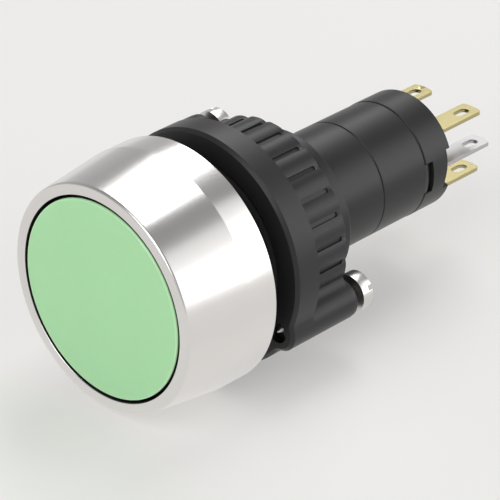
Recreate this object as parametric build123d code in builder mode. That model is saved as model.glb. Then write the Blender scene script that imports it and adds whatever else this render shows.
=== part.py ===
from math import acos, cos, degrees, hypot, radians, sin
import os

from build123d import *

# Illuminated panel pushbutton, millimetres.
# The button's axis is Y: the lens faces -Y and the terminals point to +Y, with +Z up.
# The origin is on the axis, in the plane where the bezel meets the front of the panel.
# Radii are built up from the lamp in the middle outwards, each from the one inside it, a
# wall and a clearance, so a change to one piece moves all that goes round it.

os.makedirs("parts", exist_ok=True)

# Fits and motion
travel = 2.5  # how far the lens is pressed in
running_gap = 0.05  # radial play where one piece slides in another
joint_gap = 0.03  # play where two fixed pieces are pushed together
stop_gap = 0.05  # left between flat faces that stop the travel
panel_gap = 3.77  # room for the panel between bezel and clamping ring

# Lamp and its socket
lamp_r = 2.5
lamp_length = 8.6
lamp_clearance = 0.7  # left to the diffuser when the button is pressed
lamp_rim = 1.0
lamp_rim_width = 0.4
lamp_wire_r = 0.25
lamp_wire_pitch = 2.54
socket_wall = 0.95
socket_pocket = 3.2
socket_disc = 1.2

# Plunger and contact carrier
leg_width = 4.0
leg_thickness = 1.4
leg_clearance = 0.3  # to the socket's column
leg_side_clearance = 0.35
plug_length = 1.55
plug_wall = 0.95
plunger_flange = 1.15
plunger_flange_play = 0.7
tenon_length = 1.0
tenon_inset = 0.3
carrier_head = 1.1
carrier_heel = 0.8
carrier_before_seam = 0.56
carrier_clearance = 0.9  # left to the base when the button is pressed
guide_pin_r = 0.85
guide_pin_reach = 5.1
guide_bore_extra = 0.3
web_wall = 0.55

# Contacts
bridge_thickness = 0.4
bridge_width = 1.5
bridge_side_play = 0.25
bridge_end_inset = 0.2
bridge_play = 0.32
bridge_cover = 0.1
contact_gap = 0.02
contact_spring_wire_r = 0.15
contact_spring_mean_r = 0.62
contact_spring_pitch = 0.55
nc_foot_behind_seam = 1.54
no_foot_before_seam = 1.28
foot_inset = 0.1

# Tab terminals
tab_width = 2.8
tab_thickness = 0.5
tab_corner = 0.4
tab_arch = 0.25
tab_hole_width = 1.2
tab_hole_length = 2.2
tab_hole_from_tip = 2.15
tab_slot_play = 0.03
tab_shoulder_depth = 0.8  # how deep a shoulder sits behind the front of the base's floor
tab_to_bridge = 0.28
contact_tab_length = 7.7  # behind the base
contact_tongue_width = 2.25
contact_tongue_clearance = 0.35
contact_bend = 0.4
lamp_tab_length = 7.95
lamp_tab_overhang = 0.35
lamp_tongue_width = 1.5
lamp_tongue_clearance = 0.2
lamp_foot = 1.0
lamp_foot_inner_x = 0.95

# Barrel
barrel_clearance = 0.22
barrel_wall = 0.95
barrel_step = 0.3
barrel_edge = 0.12
front_body_visible = 8.06
switch_body_length = 7.32
spigot_length = 1.6
spigot_wall = 0.5
base_proud = 0.05
base_length = 4.47
base_rim = 1.82
rim_play = 0.1
window_half_angle = 15.5
window_length = 1.22
key_length = 0.35
key_inset = 0.02
key_turn_play = 0.5  # angle left at each side of the key in the window
notch_half_angle = 20.0
notch_depth = 1.05
notch_cut = 0.7

# Stem, return spring and guide
stem_room = 1.0
stem_wall = 1.35
spring_inner_play = 0.55
spring_outer_play = 0.6
spring_wire_r = 0.3
spring_wire_sides = 8
spring_pitch = 1.66
spring_seat_depth = 1.0
guide_start = 4.0
guide_length = 4.0
seal_section_r = 0.44
seal_play = 0.06

# Front housing and coupling
neck_wall = 1.3
neck_chamfer = 0.4
housing_floor = 1.5
gasket_thickness = 0.7
gasket_width = 1.74
collar_wall = 0.67
coupling_plug = 1.1
coupling_lip = 0.5
coupling_lip_overlap = 0.98
coupling_shoulder = 0.6
coupling_shoulder_inset = 0.1
hub_wall = 2.22
hub_length = 3.9
hub_chamfer = 0.15

# Bezel
bezel_height = 12.4  # how far it stands in front of the panel
bezel_wall = 1.7
bezel_taper = 1.02
bezel_band = 3.75  # straight stretch next to the panel, the rest is tapered
bezel_lip = 1.2
bezel_rounding = 0.3
bezel_fine_edge = 0.12

# Lens, diffuser and lens holder
lens_gap = 0.35  # all round the lens inside the bezel
lens_thickness = 1.0
lens_depth = 3.2
lens_wall = 1.0
lens_rounding = 0.25
diffuser_thickness = 0.8
diffuser_play = 0.1
holder_skirt = 3.2
holder_wall = 1.1
reflector_rim = 0.8
reflector_depth = 3.0

# Clamping ring
thread_play = 0.05
ring_wall = 1.05
flange_step = 1.95
flange_length = 3.48
flange_chamfer = 0.4
grip_length = 6.65
grip_rounding = 0.15
lobe_count = 26
lobe_r = 2.7
lobe_turn = 43.85  # angle of the first lobe, from +X towards +Z
groove_width = 0.55
groove_depth = 0.6
groove_rim = 0.55  # left at the rear end of a groove

# Bosses and clamp screws
boss_count = 2
boss_turn = -30.42
boss_wall = 1.1
boss_proud = 0.7  # behind the grip
boss_end_inset = 0.05
boss_blend_r = 1.6
boss_root_inset = 0.3
boss_root_overlap = 0.4  # angle by which a blended foot is cut short, inside a lobe
boss_rounding = 0.3
screw_r = 1.25
screw_play = 0.05
screw_hole_wall = 0.34
screw_tip_recess = 0.02
screw_tip_chamfer = 0.1
screw_head_step = 1.0
screw_head = 1.57
screw_head_chamfer = 0.15
screw_head_stand_off = 0.98
screw_slot_width = 0.6
screw_slot_depth = 0.6
screw_slot_turns = {"lower": 28.5, "upper": 112.0}

# Radii and half widths, from the middle outwards
lamp_rim_r = lamp_r + lamp_rim_width
socket_r = lamp_rim_r + running_gap + socket_wall
leg_inner_z = socket_r + leg_clearance
leg_outer_z = leg_inner_z + leg_thickness
carrier_half_x = leg_width / 2
web_half_z = guide_pin_r + running_gap + web_wall
bridge_inner_z = web_half_z + bridge_side_play
bridge_outer_z = bridge_inner_z + bridge_width
carrier_half_z = bridge_outer_z + bridge_cover
contact_tab_z = bridge_outer_z + tab_to_bridge + tab_thickness / 2
contact_tongue_inner_x = carrier_half_x + contact_tongue_clearance
contact_tongue_outer_x = contact_tongue_inner_x + contact_tongue_width
contact_tab_x = contact_tongue_inner_x + tab_width / 2
leg_corner_r = hypot(carrier_half_x, leg_outer_z)
tongue_corner_r = hypot(contact_tongue_outer_x, contact_tab_z + tab_thickness / 2)
barrel_bore_r = max(leg_corner_r, tongue_corner_r) + barrel_clearance
barrel_front_bore_r = barrel_bore_r + barrel_step
barrel_r = barrel_bore_r + barrel_wall
spigot_r = barrel_bore_r + spigot_wall
spigot_seat_r = spigot_r + joint_gap
base_r = barrel_r + base_proud
notch_floor_r = base_r - notch_cut
lamp_tongue_outer_x = barrel_bore_r - lamp_tongue_clearance
lamp_tongue_inner_x = lamp_tongue_outer_x - lamp_tongue_width
lamp_tab_x = lamp_tongue_outer_x + lamp_tab_overhang - tab_width / 2
coupling_bore_r = barrel_r + joint_gap
hub_r = coupling_bore_r + hub_wall
stem_bore_r = leg_outer_z + stem_room
stem_r = stem_bore_r + stem_wall
guide_r = stem_r + running_gap
spring_mean_r = stem_r + spring_inner_play + spring_wire_r
neck_bore_r = spring_mean_r + spring_wire_r + spring_outer_play
neck_r = neck_bore_r + neck_wall  # goes through the hole in the panel
housing_r = neck_r + joint_gap + gasket_width
bezel_bore_r = housing_r - collar_wall
bezel_inner_r = housing_r + joint_gap
bezel_r = bezel_inner_r + bezel_wall
bezel_front_r = bezel_r - bezel_taper
lens_r = bezel_bore_r - lens_gap
lens_inner_r = lens_r - lens_wall
ring_bore_r = neck_r + thread_play
grip_r = ring_bore_r + ring_wall
groove_floor_r = grip_r - groove_depth
flange_r = grip_r + flange_step
screw_hole_r = screw_r + screw_play
boss_axis_r = ring_bore_r + screw_hole_wall + screw_hole_r
boss_r = screw_hole_r + boss_wall
boss_root_r = grip_r - boss_root_inset
screw_head_r = screw_r + screw_head_step

# Places along the axis
front_y = -bezel_height
lip_y = front_y + bezel_lip
diffuser_y = front_y + lens_thickness
holder_y = diffuser_y + diffuser_thickness
lens_skirt_y = front_y + lens_depth
spring_front_y = lens_skirt_y + spring_seat_depth
holder_skirt_y = lens_skirt_y + holder_skirt
lamp_tip = holder_y + travel + lamp_clearance
lamp_base = lamp_tip + lamp_length
socket_front = lamp_base - socket_pocket
floor_front_y = -gasket_thickness - housing_floor
guide_end = guide_start + guide_length
stem_end = guide_end + stop_gap
plunger_y = stem_end + plunger_flange
coupling_front = plunger_y + travel + 2 * stop_gap
neck_length = coupling_front + coupling_plug
barrel_front = coupling_front + coupling_lip
socket_disc_end = barrel_front + socket_disc
shoulder_end = neck_length + coupling_shoulder
hub_end = shoulder_end + hub_length
front_seam = hub_end + front_body_visible
rear_seam = front_seam + switch_body_length
base_floor = rear_seam + base_rim
base_end = rear_seam + base_length
tab_shoulder = base_floor + tab_shoulder_depth
ring_front = panel_gap
flange_end = ring_front + flange_length
grip_end = flange_end + grip_length
boss_end = grip_end + boss_proud
carrier_front = front_seam - carrier_before_seam
carrier_end = base_floor - travel - carrier_clearance
nc_foot_y = front_seam + nc_foot_behind_seam
no_foot_y = rear_seam - no_foot_before_seam
nc_bridge_y = nc_foot_y + tab_thickness + contact_gap
no_bridge_y = no_foot_y - travel - stop_gap - bridge_thickness


def section_at(y):
    """The plane square to the axis at y, with its own x along X and its own y along Z."""
    return Plane.XZ.offset(-y)


def turned(*half_section, mode=Mode.ADD):
    """Turns a half section, given as (radius, y) corners, about the button's axis."""
    with BuildSketch(Plane.XY) as half:
        with BuildLine():
            Polyline(*half_section, close=True)
        make_face()
    revolve(half.sketch, axis=Axis.Y, mode=mode)


def block(x_range, y_range, z_range, mode=Mode.ADD):
    """Adds or removes a rectangular block between the given limits."""
    limits = (x_range, y_range, z_range)
    with Locations(tuple((low + high) / 2 for low, high in limits)):
        Box(*(high - low for low, high in limits), mode=mode)


def sector(half_angle, inner_r, outer_r, turn=0.0, mode=Mode.ADD):
    """Sketches a piece of a ring that is centred on an angle from +X towards +Z."""
    with BuildLine() as outline:
        corners = [
            (r * cos(radians(turn + a)), r * sin(radians(turn + a)))
            for r, a in (
                (inner_r, -half_angle),
                (outer_r, -half_angle),
                (outer_r, half_angle),
                (inner_r, half_angle),
            )
        ]
        Line(corners[0], corners[1])
        RadiusArc(corners[1], corners[2], -outer_r)
        Line(corners[2], corners[3])
        RadiusArc(corners[3], corners[0], inner_r)
    make_face(outline.edges(), mode=mode)


# Bezel, turned from aluminium
with BuildPart() as bezel:
    turned(
        (bezel_bore_r, front_y),
        (bezel_front_r, front_y),
        (bezel_r, -bezel_band),
        (bezel_r, 0),
        (bezel_inner_r, 0),
        (bezel_inner_r, lip_y),
        (bezel_bore_r, lip_y),
    )
    front_edges = bezel.edges().filter_by(GeomType.CIRCLE).group_by(Axis.Y)[0].sort_by(SortBy.RADIUS)
    fillet(front_edges[-1], bezel_rounding)
    chamfer(front_edges[0], bezel_fine_edge)
    rear_edges = bezel.edges().filter_by(GeomType.CIRCLE).group_by(Axis.Y)[-1].sort_by(SortBy.RADIUS)
    chamfer(rear_edges[-1], bezel_fine_edge)
bezel.part.label = "bezel"
export_step(bezel.part, "parts/bezel.step")

# Front housing: collar behind the bezel's lip, floor, threaded neck and the stem's guide
seal_mean_r = guide_r + seal_section_r + seal_play / 2
seal_groove_r = guide_r + 2 * seal_section_r + seal_play
seal_y = guide_start + guide_length / 2
seal_groove_half = seal_section_r + seal_play
with BuildPart() as front_housing:
    turned(
        (bezel_bore_r, lip_y),
        (housing_r, lip_y),
        (housing_r, -gasket_thickness),
        (neck_r, -gasket_thickness),
        (neck_r, neck_length - neck_chamfer),
        (neck_r - neck_chamfer, neck_length),
        (neck_bore_r, neck_length),
        (neck_bore_r, guide_end),
        (guide_r, guide_end),
        (guide_r, seal_y + seal_groove_half),
        (seal_groove_r, seal_y + seal_groove_half),
        (seal_groove_r, seal_y - seal_groove_half),
        (guide_r, seal_y - seal_groove_half),
        (guide_r, guide_start),
        (neck_bore_r, guide_start),
        (neck_bore_r, floor_front_y),
        (bezel_bore_r, floor_front_y),
    )
front_housing.part.label = "front_housing"
export_step(front_housing.part, "parts/front_housing.step")

# Panel gasket, flush with the rear of the bezel
with BuildPart() as panel_gasket:
    turned(
        (neck_r + joint_gap, -gasket_thickness),
        (housing_r, -gasket_thickness),
        (housing_r, 0),
        (neck_r + joint_gap, 0),
    )
panel_gasket.part.label = "panel_gasket"
export_step(panel_gasket.part, "parts/panel_gasket.step")

# Stem seal, a round ring in the guide's groove
with BuildPart() as stem_seal:
    with BuildSketch(Plane.XY):
        with Locations((seal_mean_r, seal_y)):
            Circle(seal_section_r)
    revolve(axis=Axis.Y)
stem_seal.part.label = "stem_seal"
export_step(stem_seal.part, "parts/stem_seal.step")

# Lens cap, a shallow green cup
with BuildPart() as lens_cap:
    turned(
        (0, front_y),
        (lens_r, front_y),
        (lens_r, lens_skirt_y),
        (lens_inner_r, lens_skirt_y),
        (lens_inner_r, diffuser_y),
        (0, diffuser_y),
    )
    fillet(lens_cap.edges().filter_by(GeomType.CIRCLE).group_by(Axis.Y)[0], lens_rounding)
lens_cap.part.label = "lens_cap"
export_step(lens_cap.part, "parts/lens_cap.step")

# Diffuser disc under the lens
with BuildPart() as diffuser:
    with BuildSketch(section_at(diffuser_y)):
        Circle(lens_inner_r - diffuser_play)
    extrude(amount=-diffuser_thickness)
diffuser.part.label = "diffuser"
export_step(diffuser.part, "parts/diffuser.step")

# Lens holder: plug for the lens, reflector cone, skirt round the spring and hollow stem
holder_plug_r = lens_inner_r - joint_gap
reflector_r = holder_plug_r - reflector_rim
with BuildPart() as lens_holder:
    turned(
        (reflector_r, holder_y),
        (holder_plug_r, holder_y),
        (holder_plug_r, lens_skirt_y),
        (lens_r, lens_skirt_y),
        (lens_r, holder_skirt_y),
        (lens_r - holder_wall, holder_skirt_y),
        (lens_r - holder_wall, spring_front_y),
        (stem_r, spring_front_y),
        (stem_r, stem_end),
        (stem_bore_r, stem_end),
        (stem_bore_r, holder_y + reflector_depth),
    )
lens_holder.part.label = "lens_holder"
export_step(lens_holder.part, "parts/lens_holder.step")


def coil(y_start, y_end, mean_r, wire_r, pitch, z_centre=0.0):
    """Winds a compression spring along Y between two seats, with its round wire as flats."""
    with BuildLine():
        path = Helix(
            pitch=pitch,
            height=y_end - y_start - 2 * wire_r,
            radius=mean_r,
            center=(0, y_start + wire_r, z_centre),
            direction=(0, 1, 0),
        )
    with BuildSketch(Plane(origin=path @ 0, z_dir=path % 0)) as wire:
        RegularPolygon(wire_r, spring_wire_sides)
    sweep(wire.sketch, path=path, is_frenet=True)


# Return spring between the lens holder and the guide
with BuildPart() as return_spring:
    coil(spring_front_y, guide_start, spring_mean_r, spring_wire_r, spring_pitch)
return_spring.part.label = "return_spring"
export_step(return_spring.part, "parts/return_spring.step")

# Plunger: flange that stops behind the guide, plug in the stem and two legs into the barrel
plug_r = stem_bore_r - joint_gap
plug_bore_r = plug_r - plug_wall
plunger_flange_r = neck_bore_r - plunger_flange_play
with BuildPart() as plunger:
    turned(
        (leg_inner_z, stem_end),
        (plug_bore_r, stem_end),
        (plug_bore_r, stem_end - plug_length),
        (plug_r, stem_end - plug_length),
        (plug_r, stem_end),
        (plunger_flange_r, stem_end),
        (plunger_flange_r, plunger_y),
        (leg_inner_z, plunger_y),
    )
    for side in (1, -1):
        leg_z = sorted((side * leg_inner_z, side * leg_outer_z))
        tenon_z = (leg_z[0] + tenon_inset, leg_z[1] - tenon_inset)
        tenon_x = leg_width / 2 - tenon_inset
        block((-leg_width / 2, leg_width / 2), (stem_end, carrier_front), leg_z)
        block((-tenon_x, tenon_x), (carrier_front, carrier_front + tenon_length), tenon_z)
plunger.part.label = "plunger"
export_step(plunger.part, "parts/plunger.step")


def blended_bosses(root_r):
    """Sketches a disc with the screw bosses blended into its rim."""
    Circle(root_r)
    with PolarLocations(boss_axis_r, boss_count, start_angle=boss_turn):
        Circle(boss_r)
    fillet(vertices(), boss_blend_r)


def outward_plane(turn, radius, y):
    """The plane that touches a cylinder at an angle from +X, with its own x along Y."""
    outward = (cos(radians(turn)), 0, sin(radians(turn)))
    return Plane(origin=(radius * outward[0], y, radius * outward[2]), x_dir=(0, 1, 0), z_dir=outward)


# Clamping ring: flange, lobed grip with blind grooves, and two screw bosses
lobe_pitch = 360 / lobe_count
groove_start = flange_end - groove_width
groove_end = grip_end - groove_rim
groove_planes = [
    outward_plane(lobe_turn + (lobe + 0.5) * lobe_pitch, groove_floor_r, (groove_start + groove_end) / 2)
    for lobe in range(lobe_count)
]
blend_centre_r = boss_root_r + boss_blend_r
blend_reach = boss_r + boss_blend_r
boss_root_cos = (blend_centre_r**2 + boss_axis_r**2 - blend_reach**2) / (2 * blend_centre_r * boss_axis_r)
boss_root_angle = degrees(acos(boss_root_cos)) - boss_root_overlap
with BuildPart() as clamping_ring:
    with BuildSketch(section_at(flange_end)):
        Circle(groove_floor_r)
        with PolarLocations(grip_r - lobe_r, lobe_count, start_angle=lobe_turn):
            Circle(lobe_r)
    extrude(amount=-grip_length)
    with BuildSketch(*groove_planes):
        SlotOverall(groove_end - groove_start, groove_width)
    extrude(amount=2 * groove_depth, mode=Mode.SUBTRACT)
    with BuildSketch(Plane.XY):
        with BuildLine():
            Polyline(
                (0, flange_end),
                (grip_r, flange_end),
                (grip_r, grip_end - grip_rounding),
            )
            RadiusArc(
                (grip_r, grip_end - grip_rounding),
                (grip_r - grip_rounding, grip_end),
                -grip_rounding,
            )
            Polyline((grip_r - grip_rounding, grip_end), (0, grip_end), (0, flange_end))
        make_face()
    revolve(axis=Axis.Y, mode=Mode.INTERSECT)
    with BuildSketch(section_at(flange_end)):
        blended_bosses(boss_root_r)
        for boss in range(boss_count):
            between = boss_turn + (boss + 0.5) * 360 / boss_count
            sector(180 / boss_count - boss_root_angle, lobe_r, 2 * flange_r, between, Mode.SUBTRACT)
    extrude(amount=-grip_length)
    with BuildSketch(section_at(ring_front)):
        blended_bosses(flange_r)
    extrude(amount=-flange_length)
    chamfer(clamping_ring.edges().group_by(Axis.Y)[0], flange_chamfer)
    with BuildSketch(section_at(grip_end)):
        with PolarLocations(boss_axis_r, boss_count, start_angle=boss_turn):
            Circle(boss_r - boss_end_inset)
    extrude(amount=-boss_proud)
    fillet(clamping_ring.edges().group_by(Axis.Y)[-1], boss_rounding)
    with BuildSketch(section_at(ring_front)):
        Circle(ring_bore_r)
        with PolarLocations(boss_axis_r, boss_count, start_angle=boss_turn):
            Circle(screw_hole_r)
    extrude(amount=-(boss_end - ring_front), mode=Mode.SUBTRACT)
clamping_ring.part.label = "clamping_ring"
export_step(clamping_ring.part, "parts/clamping_ring.step")


def screw_plane(turn, y, slot_turn=0.0):
    """The plane square to a clamp screw's axis at y, with its own x along the slot."""
    axis_x = boss_axis_r * cos(radians(turn))
    axis_z = boss_axis_r * sin(radians(turn))
    along_slot = (cos(radians(slot_turn)), 0, sin(radians(slot_turn)))
    return Plane(origin=(axis_x, y, axis_z), x_dir=along_slot, z_dir=(0, -1, 0))


# Clamp screws: slotted cheese heads that stand off the bosses
screw_tip = ring_front + screw_tip_recess
head_front = boss_end + screw_head_stand_off
head_rear = head_front + screw_head
for boss, (name, slot_turn) in enumerate(screw_slot_turns.items()):
    turn = boss_turn + boss * 360 / boss_count
    with BuildPart() as clamp_screw:
        with BuildSketch(screw_plane(turn, screw_tip)):
            Circle(screw_r)
        extrude(amount=-(head_front - screw_tip))
        chamfer(clamp_screw.edges().group_by(Axis.Y)[0], screw_tip_chamfer)
        with BuildSketch(screw_plane(turn, head_front)):
            Circle(screw_head_r)
        extrude(amount=-screw_head)
        chamfer(clamp_screw.edges().group_by(Axis.Y)[-1], screw_head_chamfer)
        with BuildSketch(screw_plane(turn, head_rear, slot_turn)):
            Rectangle(3 * screw_head_r, screw_slot_width)
        extrude(amount=screw_slot_depth, mode=Mode.SUBTRACT)
    clamp_screw.part.label = f"clamp_screw_{name}"
    export_step(clamp_screw.part, f"parts/clamp_screw_{name}.step")

# Coupling: holds the barrel in the rear of the neck, with the hub that shows behind the ring
coupling_plug_r = neck_bore_r - joint_gap
shoulder_r = neck_r - coupling_shoulder_inset
with BuildPart() as switch_coupling:
    turned(
        (coupling_bore_r - coupling_lip_overlap, coupling_front),
        (coupling_plug_r, coupling_front),
        (coupling_plug_r, neck_length),
        (shoulder_r, neck_length),
        (shoulder_r, shoulder_end),
        (hub_r, shoulder_end),
        (hub_r, hub_end - hub_chamfer),
        (hub_r - hub_chamfer, hub_end),
        (coupling_bore_r, hub_end),
        (coupling_bore_r, barrel_front),
        (coupling_bore_r - coupling_lip_overlap, barrel_front),
    )
switch_coupling.part.label = "switch_coupling"
export_step(switch_coupling.part, "parts/switch_coupling.step")

# Front part of the barrel, with a spigot into the switch body
with BuildPart() as switch_front_body:
    turned(
        (barrel_front_bore_r, barrel_front),
        (barrel_r, barrel_front),
        (barrel_r, front_seam - barrel_edge),
        (barrel_r - barrel_edge, front_seam),
        (spigot_r, front_seam),
        (spigot_r, front_seam + spigot_length),
        (barrel_bore_r, front_seam + spigot_length),
        (barrel_bore_r, socket_disc_end),
        (barrel_front_bore_r, socket_disc_end),
    )
switch_front_body.part.label = "switch_front_body"
export_step(switch_front_body.part, "parts/switch_front_body.step")

# Switch body round the contacts, with two keys that stand in the base's windows
rear_spigot_end = base_floor - rim_play
with BuildPart() as switch_body:
    turned(
        (spigot_seat_r, front_seam),
        (barrel_r - barrel_edge, front_seam),
        (barrel_r, front_seam + barrel_edge),
        (barrel_r, rear_seam - barrel_edge),
        (barrel_r - barrel_edge, rear_seam),
        (spigot_r, rear_seam),
        (spigot_r, rear_spigot_end),
        (barrel_bore_r, rear_spigot_end),
        (barrel_bore_r, front_seam + spigot_length + rim_play),
        (spigot_seat_r, front_seam + spigot_length + rim_play),
    )
    with BuildSketch(section_at(rear_seam - barrel_edge)):
        for turn in (0, 180):
            sector(window_half_angle - key_turn_play, barrel_bore_r, barrel_r - key_inset, turn)
    extrude(amount=-(barrel_edge + key_length))
switch_body.part.label = "switch_body"
export_step(switch_body.part, "parts/switch_body.step")

# Terminal base: cap over the spigot with open windows, end notches, tab slots and a guide pin
contact_tongue_x = (contact_tongue_inner_x + contact_tongue_outer_x) / 2
lamp_tongue_x = (lamp_tongue_inner_x + lamp_tongue_outer_x) / 2
slot_thickness = tab_thickness + 2 * tab_slot_play
tongue_slots = [(x * contact_tongue_x, z * contact_tab_z) for x in (1, -1) for z in (1, -1)]
tab_slots = [(x * contact_tab_x, z * contact_tab_z) for x in (1, -1) for z in (1, -1)]
with BuildPart() as terminal_base:
    turned(
        (spigot_seat_r, rear_seam),
        (base_r - barrel_edge, rear_seam),
        (base_r, rear_seam + barrel_edge),
        (base_r, base_end - barrel_edge),
        (base_r - barrel_edge, base_end),
        (0, base_end),
        (0, base_floor),
        (spigot_seat_r, base_floor),
    )
    with BuildSketch(section_at(rear_seam)):
        for turn in (0, 180):
            sector(window_half_angle, barrel_bore_r, 2 * base_r, turn)
    extrude(amount=-window_length, mode=Mode.SUBTRACT)
    with BuildSketch(section_at(base_end)):
        for turn in (0, 180):
            sector(notch_half_angle, notch_floor_r, 2 * base_r, turn)
    extrude(amount=notch_depth, mode=Mode.SUBTRACT)
    with BuildSketch(section_at(tab_shoulder)):
        with Locations(*tab_slots, (lamp_tab_x, 0), (-lamp_tab_x, 0)):
            Rectangle(tab_width + 2 * tab_slot_play, slot_thickness)
    extrude(amount=-(base_end - tab_shoulder), mode=Mode.SUBTRACT)
    with BuildSketch(section_at(base_floor)):
        with Locations(*tongue_slots):
            Rectangle(contact_tongue_width + 2 * tab_slot_play, slot_thickness)
        with Locations((lamp_tongue_x, 0), (-lamp_tongue_x, 0)):
            Rectangle(lamp_tongue_width + 2 * tab_slot_play, slot_thickness)
    extrude(amount=-tab_shoulder_depth, mode=Mode.SUBTRACT)
    with BuildSketch(section_at(base_floor)):
        Circle(guide_pin_r)
    extrude(amount=guide_pin_reach)
terminal_base.part.label = "terminal_base"
export_step(terminal_base.part, "parts/terminal_base.step")


def tab(x, z, tip_y):
    """Makes the flat push-on tab of a terminal, from its shoulder to its arched tip."""
    half = tab_width / 2
    corner_y = tip_y - tab_arch
    with BuildSketch(Plane.XY.offset(z - tab_thickness / 2)) as blank:
        with BuildLine():
            Polyline(
                (x - half, corner_y),
                (x - half, tab_shoulder),
                (x + half, tab_shoulder),
                (x + half, corner_y),
            )
            ThreePointArc((x + half, corner_y), (x, tip_y), (x - half, corner_y))
        make_face()
        fillet(vertices().group_by(Axis.Y)[-1], tab_corner)
        with Locations((x, tip_y - tab_hole_from_tip)):
            SlotOverall(tab_hole_length, tab_hole_width, rotation=90, mode=Mode.SUBTRACT)
    extrude(blank.sketch, amount=tab_thickness)


# Contact terminals: a tongue runs forward inside the barrel and its foot bends to the middle
for kind, up, foot_y in (("nc", 1, nc_foot_y), ("no", -1, no_foot_y)):
    for side_name, side in (("left", -1), ("right", 1)):
        tongue_x = sorted((side * contact_tongue_inner_x, side * contact_tongue_outer_x))
        outer_z = up * (contact_tab_z + tab_thickness / 2)
        inner_z = up * (contact_tab_z - tab_thickness / 2)
        with BuildPart() as contact_terminal:
            tab(side * contact_tab_x, up * contact_tab_z, base_end + contact_tab_length)
            block(tongue_x, (foot_y, tab_shoulder), sorted((inner_z, outer_z)))
            block(
                tongue_x,
                (foot_y, foot_y + tab_thickness),
                sorted((up * (bridge_inner_z - foot_inset), outer_z)),
            )
            bend = (side * contact_tongue_x, foot_y, outer_z)
            bend_edge = contact_terminal.edges().filter_by(Axis.X).sort_by_distance(bend)[0]
            fillet(bend_edge, contact_bend)
        contact_terminal.part.label = f"{kind}_terminal_{side_name}"
        export_step(contact_terminal.part, f"parts/{kind}_terminal_{side_name}.step")

# Lamp terminals: flat blanks whose feet meet the lamp's wires behind the socket
for side_name, side in (("left", -1), ("right", 1)):
    tongue_x = sorted((side * lamp_tongue_inner_x, side * lamp_tongue_outer_x))
    foot_x = sorted((side * lamp_foot_inner_x, side * lamp_tongue_outer_x))
    sheet_z = (-tab_thickness / 2, tab_thickness / 2)
    with BuildPart() as lamp_terminal:
        tab(side * lamp_tab_x, 0, base_end + lamp_tab_length)
        block(tongue_x, (socket_disc_end, tab_shoulder), sheet_z)
        block(foot_x, (socket_disc_end, socket_disc_end + lamp_foot), sheet_z)
    lamp_terminal.part.label = f"lamp_terminal_{side_name}"
    export_step(lamp_terminal.part, f"parts/lamp_terminal_{side_name}.step")

# Lamp socket: a column inside the stem on a disc that sits in the barrel
disc_r = barrel_front_bore_r - joint_gap
pocket_r = lamp_rim_r + running_gap
cut_half_x = leg_width / 2 + leg_side_clearance
wire_places = ((lamp_wire_pitch / 2, 0), (-lamp_wire_pitch / 2, 0))
with BuildPart() as lamp_socket:
    turned(
        (0, lamp_base),
        (pocket_r, lamp_base),
        (pocket_r, socket_front),
        (socket_r, socket_front),
        (socket_r, barrel_front),
        (disc_r, barrel_front),
        (disc_r, socket_disc_end),
        (0, socket_disc_end),
    )
    for side in (1, -1):
        cut_z = sorted((side * (leg_inner_z - leg_clearance), side * 2 * disc_r))
        block((-cut_half_x, cut_half_x), (barrel_front, socket_disc_end), cut_z, mode=Mode.SUBTRACT)
    with BuildSketch(section_at(lamp_base)):
        with Locations(*wire_places):
            Circle(lamp_wire_r + running_gap)
    extrude(amount=-(socket_disc_end - lamp_base), mode=Mode.SUBTRACT)
lamp_socket.part.label = "lamp_socket"
export_step(lamp_socket.part, "parts/lamp_socket.step")

# Lamp: a domed light-emitting diode with its two wires
with BuildPart() as lamp:
    turned(
        (0, lamp_tip + lamp_r),
        (lamp_r, lamp_tip + lamp_r),
        (lamp_r, lamp_base - lamp_rim),
        (lamp_rim_r, lamp_base - lamp_rim),
        (lamp_rim_r, lamp_base),
        (0, lamp_base),
    )
    with Locations((0, lamp_tip + lamp_r, 0)):
        Sphere(lamp_r)
    with BuildSketch(section_at(lamp_base)):
        with Locations(*wire_places):
            Circle(lamp_wire_r)
    extrude(amount=-(socket_disc_end - lamp_base))
lamp.part.label = "lamp"
export_step(lamp.part, "parts/lamp.step")

# Contact carrier: a web with one open pocket for each bridge and a bore for the guide pin
nc_pocket = (nc_bridge_y - bridge_play, carrier_end - carrier_heel)
no_pocket = (carrier_front + carrier_head, no_bridge_y + bridge_thickness + bridge_play)
guide_bore_y = base_floor - guide_pin_reach - travel - guide_bore_extra
with BuildPart() as contact_carrier:
    half_x = (-carrier_half_x, carrier_half_x)
    block(half_x, (carrier_front, carrier_end), (-carrier_half_z, carrier_half_z))
    block(
        half_x,
        (carrier_front, carrier_front + carrier_head),
        (-leg_outer_z, leg_outer_z),
    )
    block(half_x, nc_pocket, (web_half_z, carrier_half_z), mode=Mode.SUBTRACT)
    block(half_x, no_pocket, (-carrier_half_z, -web_half_z), mode=Mode.SUBTRACT)
    with BuildSketch(section_at(carrier_end)):
        Circle(guide_pin_r + running_gap)
    extrude(amount=carrier_end - guide_bore_y, mode=Mode.SUBTRACT)
    for side in (1, -1):
        tenon_z = sorted((side * (leg_inner_z + tenon_inset), side * (leg_outer_z - tenon_inset)))
        mortise_z = (tenon_z[0] - joint_gap, tenon_z[1] + joint_gap)
        mortise_x = leg_width / 2 - tenon_inset + joint_gap
        mortise_y = (carrier_front, carrier_front + carrier_head)
        block((-mortise_x, mortise_x), mortise_y, mortise_z, mode=Mode.SUBTRACT)
contact_carrier.part.label = "contact_carrier"
export_step(contact_carrier.part, "parts/contact_carrier.step")

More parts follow.
